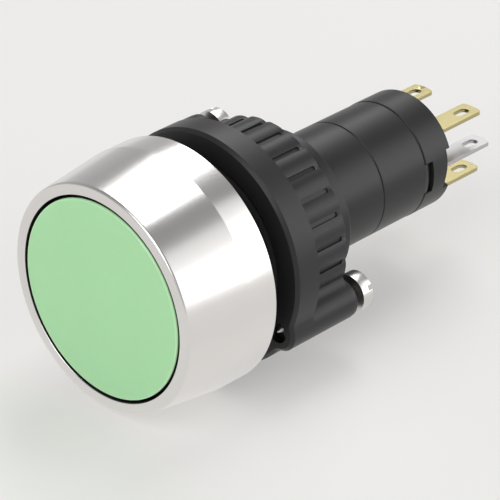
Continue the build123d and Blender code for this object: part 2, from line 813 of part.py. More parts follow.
# Contact bridges and their springs
spring_z = (bridge_inner_z + bridge_outer_z) / 2
bridge_half_x = contact_tongue_outer_x - bridge_end_inset
for kind, up, bridge_y in (("nc", 1, nc_bridge_y), ("no", -1, no_bridge_y)):
    with BuildPart() as bridge:
        block(
            (-bridge_half_x, bridge_half_x),
            (bridge_y, bridge_y + bridge_thickness),
            sorted((up * bridge_inner_z, up * bridge_outer_z)),
        )
    bridge.part.label = f"{kind}_bridge"
    export_step(bridge.part, f"parts/{kind}_bridge.step")
    room = (nc_bridge_y + bridge_thickness, nc_pocket[1]) if up > 0 else (no_pocket[0], no_bridge_y)
    with BuildPart() as contact_spring:
        coil(*room, contact_spring_mean_r, contact_spring_wire_r, contact_spring_pitch, up * spring_z)
    contact_spring.part.label = f"{kind}_contact_spring"
    export_step(contact_spring.part, f"parts/{kind}_contact_spring.step")
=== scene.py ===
# %% [markdown]
# # An illuminated panel pushbutton
# This notebook dresses the CAD model of a pushbutton for a 22 mm hole in a panel. The real
# thing has a turned metal bezel round a flat green lens. Behind the panel come a black
# clamping ring with two screws and a slim black barrel that ends in six push-on tabs.
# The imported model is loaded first, because every piece below takes its place from it. All
# coordinates are in metres in the model's own frame: the button's axis is Y, the lens
# faces -Y, +Z is up, and the origin is where the bezel meets the front of the panel.

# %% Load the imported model
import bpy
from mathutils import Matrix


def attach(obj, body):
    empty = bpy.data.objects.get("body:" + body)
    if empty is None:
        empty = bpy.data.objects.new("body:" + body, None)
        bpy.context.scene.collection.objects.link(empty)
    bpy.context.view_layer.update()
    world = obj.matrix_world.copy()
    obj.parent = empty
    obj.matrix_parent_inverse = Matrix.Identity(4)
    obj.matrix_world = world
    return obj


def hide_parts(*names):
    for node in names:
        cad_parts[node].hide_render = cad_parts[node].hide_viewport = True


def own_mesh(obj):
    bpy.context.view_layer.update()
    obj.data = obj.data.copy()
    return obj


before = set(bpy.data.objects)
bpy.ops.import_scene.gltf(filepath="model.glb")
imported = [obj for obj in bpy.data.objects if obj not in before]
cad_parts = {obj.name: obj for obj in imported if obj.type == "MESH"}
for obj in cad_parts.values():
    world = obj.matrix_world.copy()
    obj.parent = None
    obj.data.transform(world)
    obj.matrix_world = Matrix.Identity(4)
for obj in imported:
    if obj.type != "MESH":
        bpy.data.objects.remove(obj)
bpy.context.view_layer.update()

# %% [markdown]
# ## Units
# Small parts are thought of in millimetres, and Blender counts in metres. One named value
# turns the first into the second, so every size below can be written as it is measured.

# %% Units and Python modules
from math import cos, pi, radians, sin

import bmesh
import bpy
from mathutils import Matrix, Vector

MM = 0.001  # one millimetre in Blender's metres
AXIS = Vector((0, 1, 0))  # the button's own axis
print("one millimetre is", MM, "m")

# %% [markdown]
# ## The camera
# A product picture of a small switch is taken from far away with a long lens, so that its
# round shapes stay round. The camera therefore stands 320 mm from a point beside the
# bezel, 44 degrees to the right of the lens's front and 29 degrees up. It could be aimed
# with a constraint, but a matrix built from the direction of view has no moving parts.

# %% Set up the camera
VIEW_TURN = radians(44.06)  # from the front towards the right
VIEW_RISE = radians(29.47)
VIEW_DISTANCE = 319.9 * MM
AIM_POINT = Vector((9.75, 0.75, 4.73)) * MM
FOCAL_LENGTH = 213.6  # for a sensor 36 mm wide

towards_camera = Vector((
    sin(VIEW_TURN) * cos(VIEW_RISE),
    -cos(VIEW_TURN) * cos(VIEW_RISE),
    sin(VIEW_RISE),
))
camera_data = bpy.data.cameras.new("studio_camera")
camera_data.lens = FOCAL_LENGTH
camera = bpy.data.objects.new("studio_camera", camera_data)
camera.matrix_world = (
    Matrix.Translation(AIM_POINT + VIEW_DISTANCE * towards_camera)
    @ towards_camera.to_track_quat("Z", "Y").to_matrix().to_4x4()
)
bpy.context.scene.collection.objects.link(camera)
bpy.context.scene.camera = camera
bpy.context.scene.view_settings.view_transform = "Standard"
print("camera at", [round(value, 4) for value in camera.matrix_world.translation])

# %% [markdown]
# ## Colours and shader nodes
# Colours are written as the hex values that a paint program shows. Shaders work with
# linear light, so one function turns the first into the second.
# Every material below is a small tree of nodes. One helper adds a node, sets its
# properties, and either sets or links each of its inputs, which keeps the trees short.

# %% Helpers for colours and nodes
def linear(hex_colour):
    """Turns a colour such as "#d8d4d0" into the linear values that shaders take."""
    channels = [int(hex_colour[place:place + 2], 16) / 255 for place in (1, 3, 5)]
    return tuple(
        channel / 12.92 if channel <= 0.04045 else ((channel + 0.055) / 1.055) ** 2.4
        for channel in channels
    ) + (1.0,)


def add_node(tree, kind, inputs=None, **settings):
    """Adds a node, sets its properties, and sets or links its inputs."""
    node = tree.nodes.new(kind)
    for name, value in settings.items():
        setattr(node, name, value)
    for socket, value in (inputs or {}).items():
        if isinstance(value, bpy.types.NodeSocket):
            tree.links.new(value, node.inputs[socket])
        else:
            node.inputs[socket].default_value = value
    return node


def per_mm(size):
    """The texture scale at which one cell of a pattern is this many millimetres."""
    return 1 / (size * MM)


# A Mix node for colours keeps its inputs and its output at these places.
MIX_FACTOR, MIX_A, MIX_B, MIX_RESULT = 0, 6, 7, 2
print("mid grey is", round(linear("#808080")[0], 3), "in linear light")

# %% [markdown]
# ## The floor
# The button lies on a plain pale board, on the lowest point of its bezel. A metal piece
# mirrors the board, and the board beside it lies in its shadow. Part of the board's
# paleness is therefore plain emission that only the camera and mirror-like rays see. It
# lights nothing, it fades away from the button, and the rest of the board still takes the
# shadow. A brighter lamp would make the board as pale, but would also bleach the lens.

# %% Make the floor
FLOOR_LEVEL = -14.5 * MM
FLOOR_SIZE = 4.0
FLOOR_CLOUD = 60  # millimetres from one faint cloud in the paint to the next
PALE_TO_CAMERA = 0.35  # share of the board that is plain emission for each kind of ray
PALE_TO_METAL = 0.72
PALE_NEAR, PALE_FAR = 1.04, 0.9  # how strong it is beside the button and further away
PALE_REACH = 42 * MM

bpy.ops.object.select_all(action="DESELECT")
bpy.ops.mesh.primitive_plane_add(size=FLOOR_SIZE, location=(0, 0, FLOOR_LEVEL))
floor = bpy.context.object
floor.name = "floor"
bpy.ops.object.transform_apply(location=True, rotation=True, scale=True)

# Matt painted board: its paint gives no highlight, only a faint cloudiness.
board = bpy.data.materials.new("matt_painted_board")
board.use_nodes = True
tree = board.node_tree
tree.nodes.clear()
place = add_node(tree, "ShaderNodeTexCoord")
clouds = add_node(tree, "ShaderNodeTexNoise", {
    "Vector": place.outputs["Object"],
    "Scale": per_mm(FLOOR_CLOUD),
    "Detail": 3.0,
})
paint = add_node(tree, "ShaderNodeMix", {
    MIX_FACTOR: clouds.outputs[0],
    MIX_A: linear("#eeedeb"),
    MIX_B: linear("#f1f0ee"),
}, data_type="RGBA")
shader = add_node(tree, "ShaderNodeBsdfPrincipled", {
    "Base Color": paint.outputs[MIX_RESULT],
    "Roughness": 0.9,
    "Specular IOR Level": 0.2,
})
away = add_node(tree, "ShaderNodeVectorMath", {0: place.outputs["Object"]}, operation="LENGTH")
strength = add_node(tree, "ShaderNodeMapRange", {
    "Value": away.outputs["Value"],
    "From Min": -FLOOR_LEVEL,
    "From Max": PALE_REACH,
    "To Min": PALE_NEAR,
    "To Max": PALE_FAR,
}, interpolation_type="SMOOTHSTEP")
paleness = add_node(tree, "ShaderNodeEmission", {
    "Color": linear("#f6f5f3"),
    "Strength": strength.outputs[0],
})
ray = add_node(tree, "ShaderNodeLightPath")
metal_share = add_node(tree, "ShaderNodeMath", {
    0: ray.outputs["Is Glossy Ray"],
    1: PALE_TO_METAL,
}, operation="MULTIPLY")
share = add_node(tree, "ShaderNodeMath", {
    0: ray.outputs["Is Camera Ray"],
    1: PALE_TO_CAMERA,
    2: metal_share.outputs[0],
}, operation="MULTIPLY_ADD")
surface = add_node(tree, "ShaderNodeMixShader", {
    0: share.outputs[0],
    1: shader.outputs[0],
    2: paleness.outputs[0],
})
add_node(tree, "ShaderNodeOutputMaterial", {"Surface": surface.outputs[0]})
floor.data.materials.append(board)
print("floor at", round(FLOOR_LEVEL / MM, 2), "mm")

# %% [markdown]
# ## The light
# Black plastic shows its shape only by what it reflects, and satin metal is nothing but
# reflections, so the light comes from a few big soft boxes, and the gaps between them give
# the dark bands on the bezel. Three boxes overlap at the right rear, so that their light
# is strongest in the middle. One long, narrow box hangs across the top, and one stands in
# front for the lens. A grey room fills in the rest, and it is darker overhead, as a
# studio's black ceiling is. A picture of a real studio could be used, but a few boxes are
# easier to move and leave nothing to load.

# %% Fill the room with grey
HORIZON_GREY = 0.6
OVERHEAD_GREY = 0.3
OVERHEAD_HEIGHT = 0.75  # from this height of view upwards the room is at its darkest
BACKDROP_GREY = 0.9  # what the camera sees past the board from a low angle

world = bpy.data.worlds.new("studio")
world.use_nodes = True
tree = world.node_tree
ray = add_node(tree, "ShaderNodeLightPath")
sky_place = add_node(tree, "ShaderNodeTexCoord")
sky_height = add_node(tree, "ShaderNodeSeparateXYZ", {0: sky_place.outputs["Generated"]})
room = add_node(tree, "ShaderNodeMapRange", {
    "Value": sky_height.outputs["Z"],
    "From Max": OVERHEAD_HEIGHT,
    "To Min": HORIZON_GREY,
    "To Max": OVERHEAD_GREY,
})
level = add_node(tree, "ShaderNodeMapRange", {
    "Value": ray.outputs["Is Camera Ray"],
    "To Min": room.outputs[0],
    "To Max": BACKDROP_GREY,
})
background = tree.nodes["Background"]
background.inputs["Color"].default_value = (1.0, 1.0, 1.0, 1.0)
tree.links.new(level.outputs[0], background.inputs["Strength"])
bpy.context.scene.world = world
print("room grey from", HORIZON_GREY, "to", OVERHEAD_GREY)

# %% [markdown]
# ## Soft boxes
# A soft box is a lamp behind a sheet of white cloth, and an area light is just that. Its
# brightness is given against white paper, so that boxes of different sizes can be
# compared, and the helper works out the watts. A mesh that glows would do too, but a lamp
# leaves less grain in the picture.

# %% Hang the soft boxes
# Name, direction, roll in degrees, distance, width and height in metres, and brightness.
SOFTBOXES = (
    ("softbox_right_rear_low", (0.69, 0.70, 0.17), 26, 0.80, 0.91, 0.63, 0.7),
    ("softbox_right_rear_high", (0.67, 0.66, 0.33), 13, 0.77, 0.63, 0.79, 0.68),
    ("softbox_right_rear_core", (0.68, 0.68, 0.25), 20, 0.74, 0.57, 0.42, 0.92),
    ("softbox_top", (-0.26, 0.49, 0.83), 31, 0.75, 0.23, 0.74, 4.5),
    ("softbox_front", (0.20, -0.80, 0.60), 0, 0.80, 0.60, 0.60, 2.45),
)


def add_softbox(name, direction, roll, distance, width, height, brightness):
    """Hangs a soft box that faces the button. Brightness 1 is as bright as white paper."""
    light = bpy.data.lights.new(name, "AREA")
    light.shape = "RECTANGLE"
    light.size = width
    light.size_y = height
    light.energy = brightness * pi * width * height
    box = bpy.data.objects.new(name, light)
    outward = Vector(direction).normalized()
    box.matrix_world = (
        Matrix.Translation(distance * outward)
        @ outward.to_track_quat("Z", "Y").to_matrix().to_4x4()
        @ Matrix.Rotation(radians(roll), 4, "Z")
    )
    bpy.context.scene.collection.objects.link(box)
    print(name, "gives", round(light.energy, 2), "W")


for softbox in SOFTBOXES:
    add_softbox(*softbox)

# %% [markdown]
# ## Moulded plastics
# Most of the button is injection-moulded plastic. The mould is spark-eroded, which leaves
# a fine pebbled grain of a tenth of a millimetre or two and makes the gloss soft. One
# function makes all these plastics, because they differ only in colour, grain and gloss: a
# noise texture gives the grain as a bump, and a larger one lets colour and gloss drift a
# little, as the flow of the melt does.

# %% Describe a moulded plastic
MELT_FLOW = 7  # millimetres from one drift of the melt's colour to the next
GLOSS_DRIFT = 0.05  # how far the roughness wanders to each side


def moulded_plastic(
    name, base, drift, grain_mm, depth_mm, roughness, ior=1.5, scatter=0.0, coat=0.0,
):
    """A moulded plastic with spark-eroded grain. Drift is the colour it wanders to."""
    material = bpy.data.materials.new(name)
    material.use_nodes = True
    tree = material.node_tree
    tree.nodes.clear()
    place = add_node(tree, "ShaderNodeTexCoord")
    flow = add_node(tree, "ShaderNodeTexNoise", {
        "Vector": place.outputs["Object"],
        "Scale": per_mm(MELT_FLOW),
        "Detail": 4.0,
    })
    grain = add_node(tree, "ShaderNodeTexNoise", {
        "Vector": place.outputs["Object"],
        "Scale": per_mm(grain_mm),
        "Detail": 2.0,
    })
    colour = add_node(tree, "ShaderNodeMix", {
        MIX_FACTOR: flow.outputs[0],
        MIX_A: linear(base),
        MIX_B: linear(drift),
    }, data_type="RGBA")
    gloss = add_node(tree, "ShaderNodeMapRange", {
        "Value": flow.outputs[0],
        "To Min": roughness - GLOSS_DRIFT,
        "To Max": roughness + GLOSS_DRIFT,
    })
    bump = add_node(tree, "ShaderNodeBump", {
        "Height": grain.outputs[0],
        "Distance": depth_mm * MM,
        "Strength": 1.0,
    })
    shader = add_node(tree, "ShaderNodeBsdfPrincipled", {
        "Base Color": colour.outputs[MIX_RESULT],
        "Roughness": gloss.outputs[0],
        "IOR": ior,
        "Normal": bump.outputs[0],
        "Subsurface Weight": scatter,
        "Subsurface Scale": MM,
        "Coat Weight": coat,
    })
    add_node(tree, "ShaderNodeOutputMaterial", {"Surface": shader.outputs[0]})
    return material


print("a moulded plastic's colour drifts every", MELT_FLOW, "mm")

# %% [markdown]
# ## Black plastics
# The housing, the ring and the barrel are taken to be three different black plastics, and
# beside each other they differ a little in grain and gloss. One black for all would be
# simpler, but then only the seams would show that the parts are separate.

# %% Make the black plastics
# Real plastics have an IOR of 1.5 or more. This lower one was chosen because at
# 1.5 the highlights on the black came out too bright.
BLACK_IOR = 1.38

# Black PBT of the housing: dense and satin. Its black is a little lighter than the others',
# a painted light that lifts the neck in the shaded gap behind the bezel.
pbt_black = moulded_plastic(
    "moulded_black_pbt", "#2a2a2b", "#2e2e2f",
    grain_mm=0.16, depth_mm=0.003, roughness=0.42, ior=BLACK_IOR,
)
# Glass-filled nylon of the clamping ring: the fibres make it coarser than the barrel.
nylon_black = moulded_plastic(
    "moulded_black_glass_nylon", "#252526", "#29292a",
    grain_mm=0.18, depth_mm=0.004, roughness=0.4, ior=BLACK_IOR,
)
# Black polycarbonate of the barrel and its coupling: a finer grain and a closer gloss.
polycarbonate_black = moulded_plastic(
    "moulded_black_polycarbonate", "#232324", "#262627",
    grain_mm=0.14, depth_mm=0.003, roughness=0.37, ior=BLACK_IOR,
)
# Nitrile rubber of the gasket and the stem's seal: nearly matt.
nitrile = moulded_plastic(
    "moulded_nitrile_rubber", "#1b1b1c", "#222223", grain_mm=0.3, depth_mm=0.01, roughness=0.75,
)
# Painted shade: a plain black for the wall inside the bezel's mouth and for the lens's side,
# where the gap between them lies in shade.
gap_shade_black = moulded_plastic(
    "painted_gap_shade_black", "#141415", "#19191a", grain_mm=0.2, depth_mm=0.001, roughness=0.6,
)
print("black plastics:", pbt_black.name, nylon_black.name, polycarbonate_black.name)

# %% [markdown]
# ## Coloured and pale plastics
# The lens has to let the lamp's light through, so it is dyed acrylic, and the diffuser
# behind it is milky. Light goes into such a plastic and comes out beside the place where
# it went in, which subsurface scattering shows. Real transparency would be slower, and
# nothing behind the lens is meant to be seen.

# %% Make the coloured and pale plastics
# Green acrylic of the lens: light goes a millimetre or so into it before it comes back.
acrylic_green = moulded_plastic(
    "moulded_green_acrylic", "#abe0aa", "#aee3ad",
    grain_mm=0.2, depth_mm=0.0006, roughness=0.24, scatter=0.25,
)
# The same acrylic on the lens's rim, which the mould leaves polished, so it glints. Its
# paler green is a painted highlight that brightens that thin line.
acrylic_rim_painted_highlight = moulded_plastic(
    "polished_green_acrylic_painted_highlight", "#b9ecb7", "#bceeba",
    grain_mm=0.2, depth_mm=0.0003, roughness=0.1, scatter=0.25, coat=0.5,
)
# Opal acrylic of the diffuser, milky all through.
acrylic_opal = moulded_plastic(
    "moulded_opal_acrylic", "#e9e9e5", "#efefec",
    grain_mm=0.25, depth_mm=0.003, roughness=0.4, scatter=0.5,
)
# White ABS of the lens holder.
abs_white = moulded_plastic(
    "moulded_white_abs", "#d9d8d2", "#e0dfda", grain_mm=0.2, depth_mm=0.004, roughness=0.45,
)
# Natural nylon of plunger, carrier and lamp socket: cream, waxy and a little see-through.
nylon_natural = moulded_plastic(
    "moulded_natural_nylon", "#cfc9b6", "#d8d2c0",
    grain_mm=0.25, depth_mm=0.004, roughness=0.45, scatter=0.3,
)
# Clear green epoxy of the lamp, cast in a polished mould, so it has a glassy coat.
epoxy_green = moulded_plastic(
    "cast_green_epoxy", "#8fd19a", "#a5deae",
    grain_mm=0.5, depth_mm=0.001, roughness=0.12, scatter=0.4, coat=0.6,
)
print("pale plastics:", acrylic_green.name, acrylic_opal.name, abs_white.name)

# %% [markdown]
# ## Metals
# The metals differ in how they were made, and that shows in the direction of their fine
# marks. The bezel was turned on a lathe, so its marks run round the axis: its noise is
# stretched along the circle by reading only the radius and the depth of a point. The tabs
# were stamped from rolled strip, so their marks run along Y. The screws were plated
# bright, and the wire was drawn. A metal keeps the shader's default IOR.

# %% Describe a metal with fine marks
METAL_CLOUD = 5  # millimetres from one faint cloud in the colour to the next


def marked_metal(
    name, base, drift, mark_mm, depth_mm, roughness, spread, turned=False, stretch=1.0,
):
    """A metal whose marks run round the axis when turned, or else are stretched along Y."""
    material = bpy.data.materials.new(name)
    material.use_nodes = True
    tree = material.node_tree
    tree.nodes.clear()
    place = add_node(tree, "ShaderNodeTexCoord")
    split = add_node(tree, "ShaderNodeSeparateXYZ", {0: place.outputs["Object"]})
    if turned:
        across = add_node(tree, "ShaderNodeCombineXYZ", {
            "X": split.outputs["X"],
            "Y": split.outputs["Z"],
        })
        radius = add_node(tree, "ShaderNodeVectorMath", {0: across.outputs[0]}, operation="LENGTH")
        where = add_node(tree, "ShaderNodeCombineXYZ", {
            "X": radius.outputs["Value"],
            "Y": split.outputs["Y"],
        })
    else:
        where = add_node(tree, "ShaderNodeVectorMath", {
            0: place.outputs["Object"],
            1: (1.0, 1.0 / stretch, 1.0),
        }, operation="MULTIPLY")
    marks = add_node(tree, "ShaderNodeTexNoise", {
        "Vector": where.outputs[0],
        "Scale": per_mm(mark_mm),
        "Detail": 2.0,
    })
    clouds = add_node(tree, "ShaderNodeTexNoise", {
        "Vector": place.outputs["Object"],
        "Scale": per_mm(METAL_CLOUD),
        "Detail": 3.0,
    })
    colour = add_node(tree, "ShaderNodeMix", {
        MIX_FACTOR: clouds.outputs[0],
        MIX_A: linear(base),
        MIX_B: linear(drift),
    }, data_type="RGBA")
    gloss = add_node(tree, "ShaderNodeMapRange", {
        "Value": marks.outputs[0],
        "To Min": roughness - spread,
        "To Max": roughness + spread,
    })
    bump = add_node(tree, "ShaderNodeBump", {
        "Height": marks.outputs[0],
        "Distance": depth_mm * MM,
        "Strength": 1.0,
    })
    shader = add_node(tree, "ShaderNodeBsdfPrincipled", {
        "Base Color": colour.outputs[MIX_RESULT],
        "Metallic": 1.0,
        "Roughness": gloss.outputs[0],
        "Normal": bump.outputs[0],
    })
    add_node(tree, "ShaderNodeOutputMaterial", {"Surface": shader.outputs[0]})
    return material


print("a metal's colour clouds every", METAL_CLOUD, "mm")

# %% [markdown]
# ## The button's metals
# The bezel is turned and anodised, the screws are plated steel, and the tabs are brass
# with a thin plating. The marks of rolling and stamping still show under a plating, so
# each metal has its own spacing and depth of marks. An image of scratches could be used,
# but noise in real millimetres fits every piece without unwrapping it.

# %% Make the metals
# Turned aluminium, clear anodised: pale, satin, and faintly ringed by the tool. The real
# feed marks are finer than a pixel, so they are drawn a quarter of a millimetre apart.
aluminium_turned = marked_metal(
    "turned_anodised_aluminium", "#e1dedc", "#e5e3e1",
    mark_mm=0.25, depth_mm=0.00008, roughness=0.21, spread=0.006, turned=True,
)
# The screws' threads and the flats of their tips: steel darkened as a painted shade, for the
# shade that falls on the shank between boss and head.
thread_painted_shade = marked_metal(
    "steel_thread_painted_shade", "#6d6b69", "#797775",
    mark_mm=0.2, depth_mm=0.001, roughness=0.38, spread=0.06,
)
# The screws' heads and points, bright nickel plated over a clean blank.
nickel_bright = marked_metal(
    "bright_nickel_plated_steel", "#d3d1cd", "#dad8d5",
    mark_mm=0.3, depth_mm=0.0005, roughness=0.3, spread=0.05,
)
# Spring wire, drawn and left bare.
wire_drawn = marked_metal(
    "drawn_spring_steel", "#a9a8a6", "#b4b3b1",
    mark_mm=0.12, depth_mm=0.001, roughness=0.34, spread=0.06, stretch=3.0,
)
# Brass contacts, stamped and gold plated: the thin plating is a pale, dull gold.
gold_plated = marked_metal(
    "stamped_gold_plated_brass", "#b0a578", "#b7ad80",
    mark_mm=0.2, depth_mm=0.0008, roughness=0.3, spread=0.06, stretch=6.0,
)
# Lamp contacts, stamped and tin plated: greyer and softer than nickel.
tin_plated = marked_metal(
    "stamped_tin_plated_brass", "#b6b3b5", "#bebcbd",
    mark_mm=0.2, depth_mm=0.001, roughness=0.36, spread=0.06, stretch=6.0,
)
print("metals:", aluminium_turned.name, nickel_bright.name, gold_plated.name, tin_plated.name)

# %% [markdown]
# ## Selecting, smoothing and dressing
# Every operator of Blender acts on what is selected, so one helper selects a single piece
# first. Another applies a modifier, and a third gives a finished piece its smooth shading,
# its material and its place in the moving model. Weighted normals keep large flat faces
# flat beside small rounded edges, which plain smooth shading would not do.

# %% Select, apply and dress
SHARPEST = radians(35)  # edges sharper than this stay sharp in the shading


def select_only(piece):
    """Selects one object and nothing else, and makes it the active one."""
    bpy.ops.object.select_all(action="DESELECT")
    piece.select_set(True)
    bpy.context.view_layer.objects.active = piece


def apply_modifier(piece, kind, **settings):
    """Adds a modifier with its settings and applies it."""
    select_only(piece)
    modifier = piece.modifiers.new(kind.lower(), kind)
    for name, value in settings.items():
        setattr(modifier, name, value)
    bpy.ops.object.modifier_apply(modifier=modifier.name)


def dress(piece, material, slot, body, *nodes):
    """Smooths a finished piece, gives it its finish, and lets it ride on its body."""
    select_only(piece)
    bpy.ops.object.shade_smooth_by_angle(angle=SHARPEST)
    apply_modifier(piece, "WEIGHTED_NORMAL", keep_sharp=True)
    piece.data.materials.clear()
    piece.data.materials.append(material)
    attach(piece, body)
    if nodes:
        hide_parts(*nodes)
    print(piece.name, len(piece.data.polygons), "faces")


print("edges stay sharp above", round(SHARPEST, 2), "radians")

# %% [markdown]
# ## Turning
# A turned piece starts as a circle that is extruded ring by ring along its half section,
# the way a lathe would leave it. A Spin of the half section would do as well, but this way
# each surface is a clean band of quads, and a single ring can be rounded afterwards.

# %% Turn a piece ring by ring
TURN_STEPS = 192  # facets round a turned piece, each narrower than half a millimetre
DOUBLES = 0.001 * MM  # points closer than this are one point
RING_MATCH = 0.01  # millimetres within which a point counts as lying on a ring


def radius_of(point):
    """The distance of a point from the button's axis, in mm."""
    return Vector((point.x, 0, point.z)).length / MM


def turn_piece(name, rings, hollow=True):
    """Extrudes a circle along (radius, y) rings in mm; a solid one is closed at its middle."""
    bpy.ops.object.select_all(action="DESELECT")
    radius, y = rings[0]
    bpy.ops.mesh.primitive_circle_add(
        vertices=TURN_STEPS,
        radius=radius * MM,
        fill_type="NOTHING" if hollow else "TRIFAN",
        location=(0, y * MM, 0),
        rotation=(pi / 2, 0, 0),
    )
    piece = bpy.context.object
    piece.name = piece.data.name = name
    bpy.ops.object.transform_apply(location=True, rotation=True, scale=True)
    bpy.ops.object.mode_set(mode="EDIT")
    bpy.ops.mesh.select_mode(type="EDGE")
    if hollow:
        bpy.ops.mesh.select_all(action="SELECT")
    else:
        bpy.ops.mesh.select_all(action="DESELECT")
        bpy.ops.mesh.select_non_manifold()
    for next_radius, next_y in rings[1:] + (rings[:1] if hollow else []):
        bpy.ops.mesh.extrude_edges_move(
            TRANSFORM_OT_translate={"value": (0, (next_y - y) * MM, 0)}
        )
        if next_radius == 0:
            bpy.ops.mesh.merge(type="CENTER")
        else:
            ratio = next_radius / radius
            bpy.ops.transform.resize(value=(ratio, 1, ratio), center_override=(0, next_y * MM, 0))
        radius, y = next_radius, next_y
    bpy.ops.mesh.select_all(action="SELECT")
    bpy.ops.mesh.remove_doubles(threshold=DOUBLES)
    bpy.ops.mesh.normals_make_consistent(inside=False)
    bpy.ops.object.mode_set(mode="OBJECT")
    return piece


def round_ring(piece, ring, width, steps):
    """Bevels the edges that lie on one (radius, y) ring of a turned piece, all in mm."""
    radius, y = ring
    select_only(piece)
    bpy.ops.object.mode_set(mode="EDIT")
    bpy.ops.mesh.select_mode(type="EDGE")
    bpy.ops.mesh.select_all(action="DESELECT")
    mesh = bmesh.from_edit_mesh(piece.data)
    for edge in mesh.edges:
        if all(
            abs(point.co.y / MM - y) < RING_MATCH
            and abs(radius_of(point.co) - radius) < RING_MATCH
            for point in edge.verts
        ):
            edge.select_set(True)
    bmesh.update_edit_mesh(piece.data)
    bpy.ops.mesh.bevel(offset=width * MM, segments=steps, affect="EDGES")
    bpy.ops.object.mode_set(mode="OBJECT")


print("one facet in", TURN_STEPS, "turns", round(360 / TURN_STEPS, 3), "degrees")

# %% [markdown]
# ## The bezel
# The bezel is one piece of aluminium, turned to a shallow cone with a straight band next
# to the panel. Where cone and band meet, two rings lie close together, so the bend stays a
# crisp line. The rim is rounded, as its bright outline shows. The wall of its mouth is
# plain black, a painted shade for the shade that falls deep in the gap beside the lens. It
# is only another material on the same faces.

# %% Turn the bezel
BEZEL_REAR = (14.5, 0.0)
BEZEL_FRONT = (13.48, -12.4)
BEZEL_MOUTH = (12.1, -12.4)
BEZEL_BORE = 12.8
LIP_REAR = -11.2  # where the lip that covers the housing's front edge ends
BEND_Y = -3.75
BEND_HALF = 0.04

cone_slope = (BEZEL_REAR[0] - BEZEL_FRONT[0]) / (BEND_Y - BEZEL_FRONT[1])
bezel = turn_piece("bezel_shell", [
    (BEZEL_BORE, 0.0),
    BEZEL_REAR,
    (BEZEL_REAR[0], BEND_Y + BEND_HALF),
    (BEZEL_REAR[0] - cone_slope * BEND_HALF, BEND_Y - BEND_HALF),
    BEZEL_FRONT,
    BEZEL_MOUTH,
    (BEZEL_MOUTH[0], LIP_REAR),
    (BEZEL_BORE, LIP_REAR),
])
round_ring(bezel, BEZEL_FRONT, width=0.3, steps=5)
round_ring(bezel, BEZEL_MOUTH, width=0.12, steps=3)
round_ring(bezel, BEZEL_REAR, width=0.12, steps=3)
dress(bezel, aluminium_turned, "bezel_aluminium", "housing", "bezel")
# Painted shade: the faces of the mouth's wall take the plain black, for the shade deep in the gap.
bezel.data.materials.append(gap_shade_black)
for face in bezel.data.polygons:
    if radius_of(face.center) < BEZEL_MOUTH[0] + RING_MATCH:
        face.material_index = 1

# %% [markdown]
# ## The lens cap
# The lens is a shallow cup of green acrylic that is pushed over the lens holder. Its face
# is flat and softly matt, and its rim has a small polished radius, which shows as a thin
# bright line; the rim's paler green is a painted highlight. Its side is plain black, a
# painted shade, so the gap beside it looks dark all round. It is turned like the bezel,
# from a filled disc this time.

# %% Turn the lens cap
LENS_RIM = (11.75, -12.4)
LENS_ROUND = 0.22
LENS_BORE = 10.75
LENS_BACK = -11.4  # where the cup's floor ends
LENS_SKIRT = -9.2

lens = turn_piece("lens_shell", [
    LENS_RIM,
    (LENS_RIM[0], LENS_SKIRT),
    (LENS_BORE, LENS_SKIRT),
    (LENS_BORE, LENS_BACK),
    (0, LENS_BACK),
], hollow=False)
round_ring(lens, LENS_RIM, width=LENS_ROUND, steps=5)
dress(lens, acrylic_green, "lens_plastic", "button", "lens_cap")
# The rim's paler green is a painted highlight; the rim's faces are picked out below.
lens.data.materials.append(acrylic_rim_painted_highlight)
# Painted shade: the lens's side takes the plain black, for the shade in the gap round it.
lens.data.materials.append(gap_shade_black)
for face in lens.data.polygons:
    if radius_of(face.center) > LENS_RIM[0] - LENS_ROUND:
        face.material_index = 1 if face.center.y / MM < LENS_RIM[1] + LENS_ROUND else 2

# %% [markdown]
# ## Winding
# A screw thread is one tooth wound round its axis. The tooth's section is a plane whose
# outer edge is narrowed to the thread's crest, and a Screw modifier winds it. An array of
# rings would look alike from the side, but a real thread climbs.

# %% Wind a thread
FOOT_SHARE = 0.8  # of the pitch, which leaves a narrow flat at the bottom
CREST_SHARE = 0.15


def wind_thread(name, crest_r, depth, pitch, start_y, turns, steps):
    """Winds one trapezoid tooth round the axis, in mm, and closes its two ends."""
    foot = FOOT_SHARE * pitch
    crest = CREST_SHARE * pitch
    bpy.ops.object.select_all(action="DESELECT")
    bpy.ops.mesh.primitive_plane_add(size=1.0)
    piece = bpy.context.object
    piece.name = piece.data.name = name
    piece.scale = (depth * MM, foot * MM, 1.0)
    bpy.ops.object.transform_apply(location=True, rotation=True, scale=True)
    bpy.ops.object.mode_set(mode="EDIT")
    bpy.ops.mesh.select_mode(type="VERT")
    bpy.ops.mesh.select_all(action="DESELECT")
    mesh = bmesh.from_edit_mesh(piece.data)
    for point in mesh.verts:
        point.select_set(point.co.x > 0)
    bmesh.update_edit_mesh(piece.data)
    bpy.ops.transform.resize(value=(1, crest / foot, 1), center_override=(0, 0, 0))
    bpy.ops.mesh.select_all(action="SELECT")
    bpy.ops.transform.translate(value=((crest_r - depth / 2) * MM, start_y * MM, 0))
    bpy.ops.mesh.delete(type="ONLY_FACE")
    bpy.ops.object.mode_set(mode="OBJECT")
    apply_modifier(
        piece, "SCREW", axis="Y", angle=2 * pi, screw_offset=pitch * MM, iterations=turns,
        steps=steps, render_steps=steps, use_normal_calculate=True,
    )
    bpy.ops.object.mode_set(mode="EDIT")
    bpy.ops.mesh.select_all(action="DESELECT")
    bpy.ops.mesh.select_mode(type="EDGE")
    bpy.ops.mesh.select_non_manifold()
    bpy.ops.mesh.edge_face_add()
    bpy.ops.mesh.select_all(action="SELECT")
    bpy.ops.mesh.normals_make_consistent(inside=False)
    bpy.ops.object.mode_set(mode="OBJECT")
    return piece


